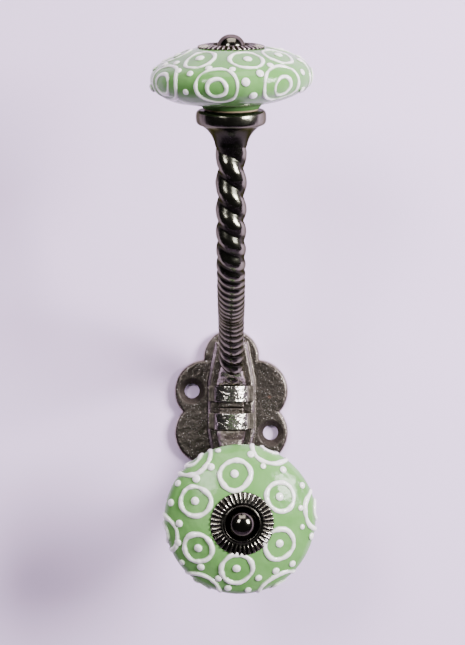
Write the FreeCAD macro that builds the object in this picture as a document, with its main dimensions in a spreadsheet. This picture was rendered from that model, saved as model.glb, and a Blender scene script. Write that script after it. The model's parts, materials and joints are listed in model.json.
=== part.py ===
import FreeCAD, Part
import math
import os

import Sketcher
from FreeCAD import Matrix, Placement, Rotation, Vector

# Double coat hook in cast metal with two ceramic knobs, in millimetres.
# The origin is at the middle of the plate's back face, where it meets the wall.
# +X is to the right, +Y goes into the wall, so the hook stands out along -Y, and +Z is up.

os.makedirs("parts", exist_ok=True)
doc = FreeCAD.newDocument("coat_hook")

# ---------------------------------------------------------------- driving dimensions

SIZES = {
    # back plate: six round lobes, with the raised middle ridge that the arms are riveted to
    "plate_thick": 3.0,
    "plate_rounding": 1.1,
    "end_lobe_radius": 8.2,
    "end_lobe_up": 16.1,
    "side_lobe_radius": 9.3,
    "side_lobe_out": 7.4,
    "side_lobe_up": 6.1,
    "screw_out": 11.6,
    "screw_up": 6.15,
    "screw_hole": 4.4,
    "screw_sink": 7.5,
    "sink_angle": 90.0,
    "ridge_wide": 13.8,
    "ridge_straight": 14.6,
    "ridge_tall": 38.0,
    "ridge_tip_wide": 9.2,
    "ridge_high": 2.0,
    "ridge_slope": 0.9,
    "root_up": 1.55,
    "rivet_up": 4.0,
    "rivet_hole": 3.0,
    "rivet_head": 5.0,
    # flat tongue and tapered shoulder at the root of each arm
    "tongue_wide": 7.2,
    "tongue_thick": 3.0,
    "tongue_long": 6.6,
    "shoulder_wide": 8.6,
    "shoulder_thick": 4.7,
    "shoulder_tall": 5.4,
    "shoulder_neck": 6.4,
    "shoulder_neck_thick": 8.2,
    # collars over the tongues
    "collar_tall": 4.6,
    "collar_wide": 10.0,
    "collar_side": 2.6,
    "collar_crown": 7.0,
    "flange_wide": 13.2,
    "flange_thick": 1.2,
    # round bar of both arms, over which the two-strand twist is cast
    "bar_radius": 3.8,
    "bar_into_seat": 1.0,
    # line of the upper arm, in the plane x = 0, with angles up from straight out of the wall
    "upper_start_out": 8.2,
    "upper_start_up": 11.1,
    "upper_start_angle": 48.0,
    "upper_flat_angle": 12.0,
    "upper_end_angle": 75.0,
    "upper_root_bend": 58.0,
    "upper_tip_bend": 32.0,
    "upper_straight": 28.3,
    # line of the lower arm, in a plane turned a little about the vertical
    "lower_start_out": 8.6,
    "lower_start_up": -9.0,
    "lower_start_angle": -66.5,
    "lower_end_angle": -2.5,
    "lower_bend": 26.6,
    "lower_straight": 7.9,
    "lower_yaw": 3.5,
    # round seat at the end of each arm
    "seat_radius": 8.85,
    "seat_thick": 3.8,
    "seat_rounding": 1.2,
    "flare_radius": 7.6,
    "flare_long": 5.0,
    "flare_hollow": 7.0,
    "neck_radius": 4.2,
    "bolt_bore": 2.05,
    "bolt_bore_deep": 10.5,
    # paper washer between the seat and the ceramic foot
    "washer_radius": 6.7,
    "washer_hole": 2.3,
    "washer_thick": 0.36,
    "clamp_gap": 0.02,
    # ceramic knob, with heights above the seat
    "foot_up": 0.4,
    "foot_radius": 7.2,
    "ankle_up": 1.1,
    "ankle_radius": 7.6,
    "ankle_hollow": 3.0,
    "underside_up": 2.0,
    "underside_radius": 9.6,
    "underside_curve": 13.5,
    "equator_up": 8.0,
    "knob_radius": 20.0,
    "rim_curve": 3.9,
    "rim_low_angle": 60.0,
    "rim_high_angle": 56.0,
    "top_curve": 27.0,
    "crown_up": 15.2,
    "crown_radius": 8.6,
    "recess_up": 14.4,
    "recess_radius": 4.8,
    "knob_bore": 2.5,
    # dished metal rosette under the head of the bolt
    "rosette_radius": 8.3,
    "rosette_hole": 2.2,
    "rosette_thick": 0.5,
    "rosette_centre": 3.9,
    "rosette_shoulder": 5.0,
    "rosette_shoulder_up": 15.5,
    # ball-headed bolt
    "head_radius": 3.6,
    "bolt_radius": 2.0,
    "bolt_reach": 8.0,
}

sheet = doc.addObject("Spreadsheet::Sheet", "Size")
for row, (name, number) in enumerate(SIZES.items(), start=1):
    sheet.set("A%d" % row, name)
    sheet.set("B%d" % row, str(number))
    sheet.setAlias("B%d" % row, name)
doc.recompute()


def size(name):
    """A driving dimension, read back from the sheet."""
    return float(sheet.get(name))


def worked(expression):
    """The present value of an expression on the sheet's cells."""
    return float(sheet.evalExpression(expression))


# ---------------------------------------------------------------- helpers

# a sketch point nearer than this to an axis is set on the axis
NO_OFFSET = 1e-9
# an edge this near to a plane lies in it
IN_PLANE = 1e-4


def new_body(label):
    body = doc.addObject("PartDesign::Body", label + "_body")
    body.Label = label
    return body


def origin_plane(body, role):
    for feature in body.Origin.OriginFeatures:
        if feature.Role == role:
            return feature
    raise ValueError(role)


def new_sketch(body, name, role, lift=None):
    """Sketch on one of the body's own origin planes, lifted along its normal by an expression."""
    sketch = body.newObject("Sketcher::SketchObject", name)
    sketch.AttachmentSupport = (origin_plane(body, role), "")
    sketch.MapMode = "FlatFace"
    if lift:
        sketch.setExpression("AttachmentOffset.Base.z", lift)
    return sketch


def pin(sketch, geometry, end, across, up):
    """Fix one end point of a sketch line or arc at two expressions on the sheet."""
    for kind, expression in (("DistanceX", across), ("DistanceY", up)):
        value = worked(expression)
        if abs(value) < NO_OFFSET:
            axis = -2 if kind == "DistanceX" else -1
            sketch.addConstraint(Sketcher.Constraint("PointOnObject", geometry, end, axis))
            continue
        index = sketch.addConstraint(Sketcher.Constraint(kind, -1, 1, geometry, end, value))
        sketch.setExpression("Constraints[%d]" % index, expression)


def arc_between(start, end, radius):
    """Arc from start to end, to the left of the way along it for a positive radius."""
    middle = (start + end) * 0.5
    half = (end - start).Length / 2
    along = (end - start).normalize()
    left = Vector(-along.y, along.x, 0)
    side = 1 if radius > 0 else -1
    rise = math.sqrt(radius * radius - half * half)
    centre = middle - left * (rise * side)
    top = centre + left * (abs(radius) * side)
    return Part.Arc(start, top, end)


def outline(sketch, corners):
    """Closed outline. A corner is (across, up) or (across, up, radius) where an arc leaves it."""
    points = [Vector(worked(c[0]), worked(c[1]), 0) for c in corners]
    count = len(corners)
    for n, corner in enumerate(corners):
        start, end = points[n], points[(n + 1) % count]
        if len(corner) > 2:
            sketch.addGeometry(arc_between(start, end, worked(corner[2])), False)
        else:
            sketch.addGeometry(Part.LineSegment(start, end), False)
    entry, leave = [1] * count, [2] * count
    for n, corner in enumerate(corners):
        # an arc that runs clockwise is stored the other way round
        if len(corner) > 2 and worked(corner[2]) > 0:
            entry[n], leave[n] = 2, 1
    for n in range(count):
        after = (n + 1) % count
        sketch.addConstraint(Sketcher.Constraint("Coincident", n, leave[n], after, entry[after]))
    for n, corner in enumerate(corners):
        pin(sketch, n, entry[n], corner[0], corner[1])
        if len(corner) > 2:
            radius = abs(worked(corner[2]))
            index = sketch.addConstraint(Sketcher.Constraint("Radius", n, radius))
            sketch.setExpression("Constraints[%d]" % index, "abs(%s)" % corner[2])


def revolved(label, corners):
    """Body of revolution about Z from an outline in (radius, height)."""
    body = new_body(label)
    profile = new_sketch(body, label + "_profile", "XZ_Plane")
    outline(profile, corners)
    turned = body.newObject("PartDesign::Revolution", label + "_turned")
    turned.Profile = profile
    turned.ReferenceAxis = (profile, ["V_Axis"])
    turned.Angle = 360
    body.Tip = turned
    return body


def padded(body, name, sketch, length):
    pad = body.newObject("PartDesign::Pad", name)
    pad.Profile = sketch
    pad.setExpression("Length", length)
    body.Tip = pad
    return pad


# ---------------------------------------------------------------- lines of the arms


def arm_line(start_out, start_up, turns, straight, yaw):
    """The bar's wire of tangent arcs and a straight run, and where and which way its seat lies.

    turns holds the start angle and then (bend radius, angle after the bend), with all angles
    measured up from straight out of the wall. The wire stops inside the seat's flare.
    """
    outward = Vector(math.sin(math.radians(yaw)), -math.cos(math.radians(yaw)), 0)
    upward = Vector(0, 0, 1)
    start = Vector(0, -start_out, start_up)
    angle = math.radians(turns[0])
    pieces = []
    for radius, next_angle in turns[1:]:
        after = math.radians(next_angle)
        side = 1 if after > angle else -1
        normal = outward * -math.sin(angle) + upward * math.cos(angle)
        centre = start + normal * (radius * side)
        end_normal = outward * -math.sin(after) + upward * math.cos(after)
        end = centre - end_normal * (radius * side)
        half = (angle + after) / 2
        half_normal = outward * -math.sin(half) + upward * math.cos(half)
        middle = centre - half_normal * (radius * side)
        pieces.append(Part.Arc(start, middle, end).toShape())
        start, angle = end, after
    along = outward * math.cos(angle) + upward * math.sin(angle)
    end = start + along * straight
    hidden = size("seat_thick") + size("flare_long") - size("bar_into_seat")
    pieces.append(Part.LineSegment(start, end - along * hidden).toShape())
    return Part.Wire(pieces), end, along, upward.cross(outward)


upper_wire, upper_seat_at, upper_along, upper_across = arm_line(
    size("upper_start_out"),
    size("upper_start_up"),
    [
        size("upper_start_angle"),
        (size("upper_root_bend"), size("upper_flat_angle")),
        (size("upper_tip_bend"), size("upper_end_angle")),
    ],
    size("upper_straight"),
    0,
)
lower_wire, lower_seat_at, lower_along, lower_across = arm_line(
    size("lower_start_out"),
    size("lower_start_up"),
    [size("lower_start_angle"), (size("lower_bend"), size("lower_end_angle"))],
    size("lower_straight"),
    size("lower_yaw"),
)


def seat_placement(at, along, across):
    """Local +Z along the arm's end, with local +X across the hook."""
    back = along.cross(across)
    turn = Matrix(
        across.x, back.x, along.x, 0,
        across.y, back.y, along.y, 0,
        across.z, back.z, along.z, 0,
        0, 0, 0, 1,
    )
    return Placement(at, Placement(turn).Rotation)


upper_seat = seat_placement(upper_seat_at, upper_along, upper_across)
lower_seat = seat_placement(lower_seat_at, lower_along, lower_across)

# ---------------------------------------------------------------- back plate


def circle_meeting(first, first_radius, second, second_radius):
    """Where two lobe circles cross, on the side further from the middle."""
    gap = second - first
    reach = gap.Length
    along = (first_radius**2 - second_radius**2 + reach**2) / (2 * reach)
    aside = math.sqrt(first_radius**2 - along**2)
    step = gap.normalize()
    normal = Vector(-step.y, step.x, 0)
    base = first + step * along
    choices = [base + normal * aside, base - normal * aside]
    return max(choices, key=lambda point: point.Length)


def flower(sketch):
    """Six arcs, each held by its centre and radius, joined end to end."""
    lobes = [
        ("0", "Size.end_lobe_up", "Size.end_lobe_radius"),
        ("-Size.side_lobe_out", "Size.side_lobe_up", "Size.side_lobe_radius"),
        ("-Size.side_lobe_out", "-Size.side_lobe_up", "Size.side_lobe_radius"),
        ("0", "-Size.end_lobe_up", "Size.end_lobe_radius"),
        ("Size.side_lobe_out", "-Size.side_lobe_up", "Size.side_lobe_radius"),
        ("Size.side_lobe_out", "Size.side_lobe_up", "Size.side_lobe_radius"),
    ]
    centres = [Vector(worked(x), worked(up), 0) for x, up, _ in lobes]
    radii = [worked(radius) for _, _, radius in lobes]
    count = len(lobes)
    cusps = [
        circle_meeting(centres[n], radii[n], centres[(n + 1) % count], radii[(n + 1) % count])
        for n in range(count)
    ]
    for n, centre in enumerate(centres):
        outward = Vector(centre).normalize()
        sketch.addGeometry(Part.Arc(cusps[n - 1], centre + outward * radii[n], cusps[n]), False)
    for n in range(count):
        sketch.addConstraint(Sketcher.Constraint("Coincident", n, 2, (n + 1) % count, 1))
    for n, (x, up, radius) in enumerate(lobes):
        pin(sketch, n, 3, x, up)
        index = sketch.addConstraint(Sketcher.Constraint("Radius", n, radii[n]))
        sketch.setExpression("Constraints[%d]" % index, radius)


def circles(sketch, places, diameter):
    for n, (x, up) in enumerate(places):
        at = Vector(worked(x), worked(up), 0)
        sketch.addGeometry(Part.Circle(at, Vector(0, 0, 1), worked(diameter) / 2), False)
        pin(sketch, n, 3, x, up)
        index = sketch.addConstraint(Sketcher.Constraint("Diameter", n, worked(diameter)))
        sketch.setExpression("Constraints[%d]" % index, diameter)


def ridge_outline(sketch):
    """Upright strip of even width that tapers to a narrower square tip at the top and bottom."""
    half_wide = "Size.ridge_wide / 2"
    half_tip = "Size.ridge_tip_wide / 2"
    top = "Size.root_up + Size.ridge_tall / 2"
    upper_bend = "Size.root_up + Size.ridge_straight / 2"
    lower_bend = "Size.root_up - Size.ridge_straight / 2"
    bottom = "Size.root_up - Size.ridge_tall / 2"
    outline(
        sketch,
        [
            ("-" + half_tip, bottom),
            (half_tip, bottom),
            (half_wide, lower_bend),
            (half_wide, upper_bend),
            (half_tip, top),
            ("-" + half_tip, top),
            ("-" + half_wide, upper_bend),
            ("-" + half_wide, lower_bend),
        ],
    )


RIVETS = [
    ("0", "Size.root_up + Size.rivet_up"),
    ("0", "Size.root_up - Size.rivet_up"),
]
SCREWS = [("-Size.screw_out", "Size.screw_up"), ("Size.screw_out", "-Size.screw_up")]

plate = new_body("back_plate")
plate_sketch = new_sketch(plate, "plate_outline", "XZ_Plane")
flower(plate_sketch)
flower_pad = padded(plate, "plate_pad", plate_sketch, "Size.plate_thick")
doc.recompute()


def front_edges(shape, depth):
    """Names of the edges that lie in the plane y = -depth."""
    names = []
    for n, edge in enumerate(shape.Edges, start=1):
        box = edge.BoundBox
        if abs(box.YMin + depth) < IN_PLANE and abs(box.YMax + depth) < IN_PLANE:
            names.append("Edge%d" % n)
    return names


rim = plate.newObject("PartDesign::Fillet", "plate_rim")
rim.Base = (flower_pad, front_edges(flower_pad.Shape, size("plate_thick")))
rim.setExpression("Radius", "Size.plate_rounding")
plate.Tip = rim
doc.recompute()

ridge_sketch = new_sketch(plate, "ridge_outline", "XZ_Plane", "Size.plate_thick")
ridge_outline(ridge_sketch)
ridge = padded(plate, "ridge", ridge_sketch, "Size.ridge_high")
doc.recompute()

ridge_front = size("plate_thick") + size("ridge_high")
ridge_edges = plate.newObject("PartDesign::Chamfer", "ridge_slope")
ridge_edges.Base = (ridge, front_edges(ridge.Shape, ridge_front))
ridge_edges.setExpression("Size", "Size.ridge_slope")
plate.Tip = ridge_edges
doc.recompute()

screw_sketch = new_sketch(plate, "screw_places", "XZ_Plane", "Size.plate_thick")
circles(screw_sketch, SCREWS, "Size.screw_hole")
doc.recompute()
screws = plate.newObject("PartDesign::Hole", "screw_holes")
screws.Profile = screw_sketch
screws.Threaded = False
screws.DepthType = "ThroughAll"
screws.HoleCutType = "Countersink"
screws.HoleCutCustomValues = True
screws.setExpression("Diameter", "Size.screw_hole")
screws.setExpression("HoleCutDiameter", "Size.screw_sink")
screws.setExpression("HoleCutCountersinkAngle", "Size.sink_angle")
plate.Tip = screws
doc.recompute()

rivet_sketch = new_sketch(plate, "rivet_places", "XZ_Plane")
circles(rivet_sketch, RIVETS, "Size.rivet_hole")
doc.recompute()
rivet_holes = plate.newObject("PartDesign::Hole", "rivet_holes")
rivet_holes.Profile = rivet_sketch
rivet_holes.Reversed = True
rivet_holes.Threaded = False
rivet_holes.DepthType = "ThroughAll"
rivet_holes.HoleCutType = "Countersink"
rivet_holes.HoleCutCustomValues = True
rivet_holes.setExpression("Diameter", "Size.rivet_hole")
rivet_holes.setExpression("HoleCutDiameter", "Size.rivet_head")
rivet_holes.setExpression("HoleCutCountersinkAngle", "Size.sink_angle")
plate.Tip = rivet_holes
doc.recompute()

# ---------------------------------------------------------------- arms


def arm_seat(label, placement):
    """Round seat with a trumpet flare below it, ending at the bar's neck."""
    body = revolved(
        label,
        [
            ("0", "0"),
            ("Size.seat_radius - Size.seat_rounding", "0", "Size.seat_rounding"),
            ("Size.seat_radius", "-Size.seat_rounding"),
            ("Size.seat_radius", "Size.seat_rounding - Size.seat_thick", "Size.seat_rounding"),
            ("Size.seat_radius - Size.seat_rounding", "-Size.seat_thick"),
            ("Size.flare_radius", "-Size.seat_thick", "-Size.flare_hollow"),
            ("Size.neck_radius", "-Size.seat_thick - Size.flare_long"),
            ("0", "-Size.seat_thick - Size.flare_long"),
        ],
    )
    body.Placement = placement
    return body


def arm_root(label, side):
    """Flat tongue on the ridge and a shoulder that tapers to the bar, going up (1) or down (-1)."""
    upright = Rotation(Vector(1, 0, 0), 90)
    half_turn = Rotation(Vector(0, 1, 0), 180)
    base = -size("plate_thick") - size("ridge_high")
    tongue = doc.addObject("Part::Box", label + "_tongue")
    tongue.setExpression("Length", "Size.tongue_wide")
    tongue.setExpression("Width", "Size.tongue_thick")
    tongue.setExpression("Height", "Size.tongue_long")
    low = size("root_up") if side > 0 else size("root_up") - size("tongue_long")
    front = base - size("tongue_thick")
    tongue.Placement = Placement(Vector(-size("tongue_wide") / 2, front, low), Rotation())
    shoulder = doc.addObject("Part::Wedge", label + "_shoulder")
    for cell, expression in {
        "Xmin": "-Size.shoulder_wide / 2",
        "Xmax": "Size.shoulder_wide / 2",
        "Ymax": "Size.shoulder_tall",
        "Zmax": "Size.shoulder_thick",
        "X2min": "-Size.shoulder_neck / 2",
        "X2max": "Size.shoulder_neck / 2",
        "Z2max": "Size.shoulder_neck_thick",
    }.items():
        shoulder.setExpression(cell, expression)
    shoulder.Ymin = 0
    shoulder.Zmin = 0
    shoulder.Z2min = 0
    foot = size("root_up") + side * size("tongue_long")
    shoulder.Placement = Placement(Vector(0, base, foot), upright if side > 0 else half_turn * upright)
    return [tongue, shoulder]


def arm_bar(label, wire):
    """Round bar swept along the arm's line."""
    line = doc.addObject("Part::Feature", label + "_line")
    line.Shape = wire
    start = wire.OrderedEdges[0]
    section = doc.addObject("Part::Circle", label + "_section")
    section.setExpression("Radius", "Size.bar_radius")
    at = start.valueAt(start.FirstParameter)
    along = start.tangentAt(start.FirstParameter)
    section.Placement = Placement(at, Rotation(Vector(0, 0, 1), along))
    bar = doc.addObject("Part::Sweep", label)
    bar.Sections = [section]
    bar.Spine = (line, ["Edge%d" % n for n in range(1, len(wire.Edges) + 1)])
    bar.Solid = True
    return bar


def arm(label, wire, seat, side):
    bar = arm_bar(label + "_bar", wire)
    end = arm_seat(label + "_seat", seat)
    body = doc.addObject("Part::MultiFuse", label + "_cast")
    body.Shapes = [bar, end] + arm_root(label, side)
    bore = doc.addObject("Part::Cylinder", label + "_bore")
    bore.setExpression("Radius", "Size.bolt_bore")
    bore.setExpression("Height", "Size.bolt_bore_deep + Size.bolt_bore")
    bore.Placement = seat.multiply(Placement(Vector(0, 0, -size("bolt_bore_deep")), Rotation()))
    pin_hole = doc.addObject("Part::Cylinder", label + "_pin_hole")
    pin_hole.setExpression("Radius", "Size.rivet_hole / 2")
    pin_hole.setExpression("Height", "Size.plate_thick + Size.ridge_high + Size.tongue_thick")
    up = size("root_up") + side * size("rivet_up")
    pin_hole.Placement = Placement(Vector(0, 0, up), Rotation(Vector(1, 0, 0), 90))
    tools = doc.addObject("Part::MultiFuse", label + "_bores")
    tools.Shapes = [bore, pin_hole]
    whole = doc.addObject("Part::Cut", label)
    whole.Base = body
    whole.Tool = tools
    whole.Label = label
    return whole


upper_arm = arm("upper_arm", upper_wire, upper_seat, 1)
lower_arm = arm("lower_arm", lower_wire, lower_seat, -1)
doc.recompute()

# ---------------------------------------------------------------- collars and rivets


def collar(label, side):
    """Bridge over a tongue, with a flange each side that lies on the ridge."""
    ridge_face = "-Size.plate_thick - Size.ridge_high"
    flange_face = ridge_face + " - Size.flange_thick"
    side_face = ridge_face + " - Size.collar_side"
    tongue_face = ridge_face + " - Size.tongue_thick"
    body = new_body(label)
    sketch = new_sketch(body, label + "_section", "XY_Plane")
    outline(
        sketch,
        [
            ("-Size.flange_wide / 2", ridge_face),
            ("-Size.flange_wide / 2", flange_face),
            ("-Size.collar_wide / 2", flange_face),
            ("-Size.collar_wide / 2", side_face, "-Size.collar_crown"),
            ("Size.collar_wide / 2", side_face),
            ("Size.collar_wide / 2", flange_face),
            ("Size.flange_wide / 2", flange_face),
            ("Size.flange_wide / 2", ridge_face),
            ("Size.tongue_wide / 2", ridge_face),
            ("Size.tongue_wide / 2", tongue_face),
            ("-Size.tongue_wide / 2", tongue_face),
            ("-Size.tongue_wide / 2", ridge_face),
        ],
    )
    padded(body, label + "_band", sketch, "Size.collar_tall")
    up = size("root_up") + side * size("rivet_up") - size("collar_tall") / 2
    body.Placement = Placement(Vector(0, 0, up), Rotation())
    return body


upper_collar = collar("upper_collar", 1)
lower_collar = collar("lower_collar", -1)


def rivet(label, side):
    """Pin from the back of the plate to the tongue's face, with a flush head at the back."""
    pin_part = doc.addObject("Part::Cylinder", label + "_pin")
    pin_part.setExpression("Radius", "Size.rivet_hole / 2")
    pin_part.setExpression("Height", "Size.plate_thick + Size.ridge_high + Size.tongue_thick")
    head = doc.addObject("Part::Cone", label + "_head")
    head.setExpression("Radius1", "Size.rivet_head / 2")
    head.setExpression("Radius2", "Size.rivet_hole / 2")
    head.setExpression("Height", "(Size.rivet_head - Size.rivet_hole) / 2")
    whole = doc.addObject("Part::Fuse", label)
    whole.Base = pin_part
    whole.Tool = head
    up = size("root_up") + side * size("rivet_up")
    whole.Placement = Placement(Vector(0, 0, up), Rotation(Vector(1, 0, 0), 90))
    return whole


arm_rivets = doc.addObject("Part::Compound", "arm_rivets")
arm_rivets.Links = [rivet("upper_rivet", 1), rivet("lower_rivet", -1)]
arm_rivets.Label = "arm_rivets"

# ---------------------------------------------------------------- knobs


def seat_washer(label):
    low = "Size.clamp_gap"
    high = "Size.clamp_gap + Size.washer_thick"
    return revolved(
        label,
        [
            ("Size.washer_hole", low),
            ("Size.washer_radius", low),
            ("Size.washer_radius", high),
            ("Size.washer_hole", high),
        ],
    )


def ceramic_knob(label):
    """Flattened ball on a short foot, with a recess in the crown for the rosette."""
    return revolved(
        label,
        [
            ("Size.knob_bore", "Size.foot_up"),
            ("Size.foot_radius", "Size.foot_up"),
            ("Size.ankle_radius", "Size.ankle_up", "Size.ankle_hollow"),
            ("Size.underside_radius", "Size.underside_up", "-Size.underside_curve"),
            (
                "Size.knob_radius - Size.rim_curve * (1 - cos(Size.rim_low_angle))",
                "Size.equator_up - Size.rim_curve * sin(Size.rim_low_angle)",
                "-Size.rim_curve",
            ),
            (
                "Size.knob_radius - Size.rim_curve * (1 - cos(Size.rim_high_angle))",
                "Size.equator_up + Size.rim_curve * sin(Size.rim_high_angle)",
                "-Size.top_curve",
            ),
            ("Size.crown_radius", "Size.crown_up"),
            ("Size.recess_radius", "Size.crown_up"),
            ("Size.recess_radius", "Size.recess_up"),
            ("Size.knob_bore", "Size.recess_up"),
        ],
    )


def rosette(label):
    """Pressed dish of one thickness: flat centre, raised shoulder, low rim."""
    return revolved(
        label,
        [
            ("Size.rosette_hole", "Size.recess_up"),
            ("Size.rosette_centre", "Size.recess_up"),
            ("Size.rosette_shoulder", "Size.rosette_shoulder_up"),
            ("Size.rosette_radius", "Size.crown_up"),
            ("Size.rosette_radius", "Size.crown_up + Size.rosette_thick"),
            ("Size.rosette_shoulder", "Size.rosette_shoulder_up + Size.rosette_thick"),
            ("Size.head_radius", "Size.recess_up + Size.rosette_thick"),
            ("Size.rosette_hole", "Size.recess_up + Size.rosette_thick"),
        ],
    )


def ball_bolt(label):
    """Domed head on the rosette, with a shank through the knob into the arm."""
    under_head = "Size.recess_up + Size.rosette_thick"
    return revolved(
        label,
        [
            ("0", "-Size.bolt_reach"),
            ("Size.bolt_radius", "-Size.bolt_reach"),
            ("Size.bolt_radius", under_head),
            ("Size.head_radius", under_head, "-Size.head_radius"),
            ("0", under_head + " + Size.head_radius"),
        ],
    )


NODES = [plate, upper_arm, lower_arm, upper_collar, lower_collar, arm_rivets]
for place, seat in (("upper", upper_seat), ("lower", lower_seat)):
    knob_set = [
        seat_washer(place + "_seat_washer"),
        ceramic_knob(place + "_knob"),
        rosette(place + "_rosette"),
        ball_bolt(place + "_bolt"),
    ]
    for piece in knob_set:
        piece.Placement = seat
    NODES += knob_set
doc.recompute()

# ---------------------------------------------------------------- checks and files

for item in doc.Objects:
    if "Invalid" in item.State or "Error" in item.State:
        raise RuntimeError("%s did not compute: %s" % (item.Label, item.State))
for node in NODES:
    if node.Shape.isNull() or not node.Shape.isValid():
        raise RuntimeError("%s has no valid shape" % node.Label)
for node in NODES:
    node.Shape.exportStep("parts/%s.step" % node.Label)
    print("%-18s %2d solid(s) %9.1f mm3" % (node.Label, len(node.Shape.Solids), node.Shape.Volume))
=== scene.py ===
import json
import math
import random

import bmesh
import bpy
import numpy as np
from mathutils import Matrix, Vector
from mathutils.bvhtree import BVHTree


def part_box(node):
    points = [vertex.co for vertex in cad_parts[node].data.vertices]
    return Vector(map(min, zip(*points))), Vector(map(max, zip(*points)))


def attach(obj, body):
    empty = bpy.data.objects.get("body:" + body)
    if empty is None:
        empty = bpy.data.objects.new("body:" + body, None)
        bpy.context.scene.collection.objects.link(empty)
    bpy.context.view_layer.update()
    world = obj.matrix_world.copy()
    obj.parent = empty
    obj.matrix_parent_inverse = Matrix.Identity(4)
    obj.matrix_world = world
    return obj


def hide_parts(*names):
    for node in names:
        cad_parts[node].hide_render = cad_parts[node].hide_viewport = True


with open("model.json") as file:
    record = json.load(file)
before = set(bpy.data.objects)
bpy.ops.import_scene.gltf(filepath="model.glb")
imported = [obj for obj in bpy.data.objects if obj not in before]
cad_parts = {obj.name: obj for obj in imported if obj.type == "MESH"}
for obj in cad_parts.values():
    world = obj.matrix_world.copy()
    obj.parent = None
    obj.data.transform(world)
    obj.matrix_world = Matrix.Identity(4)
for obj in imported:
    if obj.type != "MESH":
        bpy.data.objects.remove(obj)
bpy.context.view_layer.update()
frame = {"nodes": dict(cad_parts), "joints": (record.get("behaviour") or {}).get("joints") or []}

# Double coat hook: a cast plate, two twisted arms and two ceramic knobs with piped slip.
# Lengths are written in millimetres and multiplied by MM where they become metres.

MM = 0.001
UP = Vector((0, 0, 1))

# ---------------------------------------------------------------- graphs of nodes


def pick(sockets, key):
    """The socket with that identifier, or else the first one in use with that name."""
    for socket in sockets:
        if socket.identifier == key:
            return socket
    return next(socket for socket in sockets if socket.name == key and socket.enabled)


class Wire:
    """An output socket that takes part in arithmetic: each operator adds a Math node."""

    def __init__(self, graph, socket):
        self.graph = graph
        self.socket = socket

    def __getitem__(self, name):
        """Another output of the same node."""
        return Wire(self.graph, pick(self.socket.node.outputs, name))

    def __add__(self, other):
        return self.graph.maths("ADD", self, other)

    def __sub__(self, other):
        return self.graph.maths("SUBTRACT", self, other)

    def __rsub__(self, other):
        return self.graph.maths("SUBTRACT", other, self)

    def __mul__(self, other):
        return self.graph.maths("MULTIPLY", self, other)

    def __truediv__(self, other):
        return self.graph.maths("DIVIDE", self, other)

    def __rtruediv__(self, other):
        return self.graph.maths("DIVIDE", other, self)

    def __pow__(self, other):
        return self.graph.maths("POWER", self, other)

    __radd__ = __add__
    __rmul__ = __mul__


class Graph:
    """Adds nodes to a material's or a modifier's tree."""

    def __init__(self, tree):
        self.tree = tree

    def feed(self, socket, value):
        if isinstance(value, Wire):
            self.tree.links.new(value.socket, socket)
        else:
            socket.default_value = value

    def node(self, kind, settings=None, inputs=None):
        """A node with its settings and then its sockets set; returns its first output in use."""
        made = self.tree.nodes.new(kind)
        for name, value in (settings or {}).items():
            setattr(made, name, value)
        for name, value in (inputs or {}).items():
            self.feed(pick(made.inputs, name), value)
        return Wire(self, next(socket for socket in made.outputs if socket.enabled))

    def maths(self, operation, *values):
        inputs = dict(zip(("Value", "Value_001", "Value_002"), values))
        return self.node("ShaderNodeMath", {"operation": operation}, inputs)

    def vector(self, operation, first, second):
        """Vector Math on two vectors, or on a vector and a number for SCALE."""
        key = "Scale" if operation == "SCALE" else "Vector_001"
        inputs = {"Vector": first, key: second}
        return self.node("ShaderNodeVectorMath", {"operation": operation}, inputs)

    def blend(self, factor, first, second):
        """The first colour at factor 0 and the second at 1."""
        inputs = {"Factor_Float": factor, "A_Color": first, "B_Color": second}
        return self.node("ShaderNodeMix", {"data_type": "RGBA"}, inputs)["Result_Color"]

    def noise(self, place, scale, detail=2.0, seed=0.0):
        """Noise from 0 to 1 with that many features to a metre."""
        inputs = {"Vector": place, "W": seed, "Scale": scale, "Detail": detail}
        return self.node("ShaderNodeTexNoise", {"noise_dimensions": "4D"}, inputs)

    def between(self, value, low, high):
        """0 below low, 1 above high, and smooth from one to the other."""
        settings = {"interpolation_type": "SMOOTHSTEP"}
        inputs = {"Value": value, "From Min": low, "From Max": high}
        return self.node("ShaderNodeMapRange", settings, inputs)


# ---------------------------------------------------------------- finishes


class Finish(Graph):
    """A procedural material on Object coordinates."""

    def __init__(self, name):
        self.material = bpy.data.materials.new(name)
        self.material.use_nodes = True
        super().__init__(self.material.node_tree)
        self.shader = self.tree.nodes["Principled BSDF"]
        self.place = self.node("ShaderNodeTexCoord")["Object"]

    def set(self, **values):
        for name, value in values.items():
            self.feed(self.shader.inputs[name.replace("_", " ")], value)

    def attribute(self, name):
        return self.node("ShaderNodeAttribute", {"attribute_name": name})["Fac"]

    def bump(self, height, deep, below=None):
        """Bump of a height from 0 to 1 that stands that many metres deep."""
        inputs = {"Strength": 1.0, "Distance": deep, "Height": height}
        if below is not None:
            inputs["Normal"] = below
        return self.node("ShaderNodeBump", None, inputs)


def rgb(red, green, blue):
    return (red, green, blue, 1.0)


GLAZE_GREEN = rgb(0.135, 0.31, 0.09)


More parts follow.
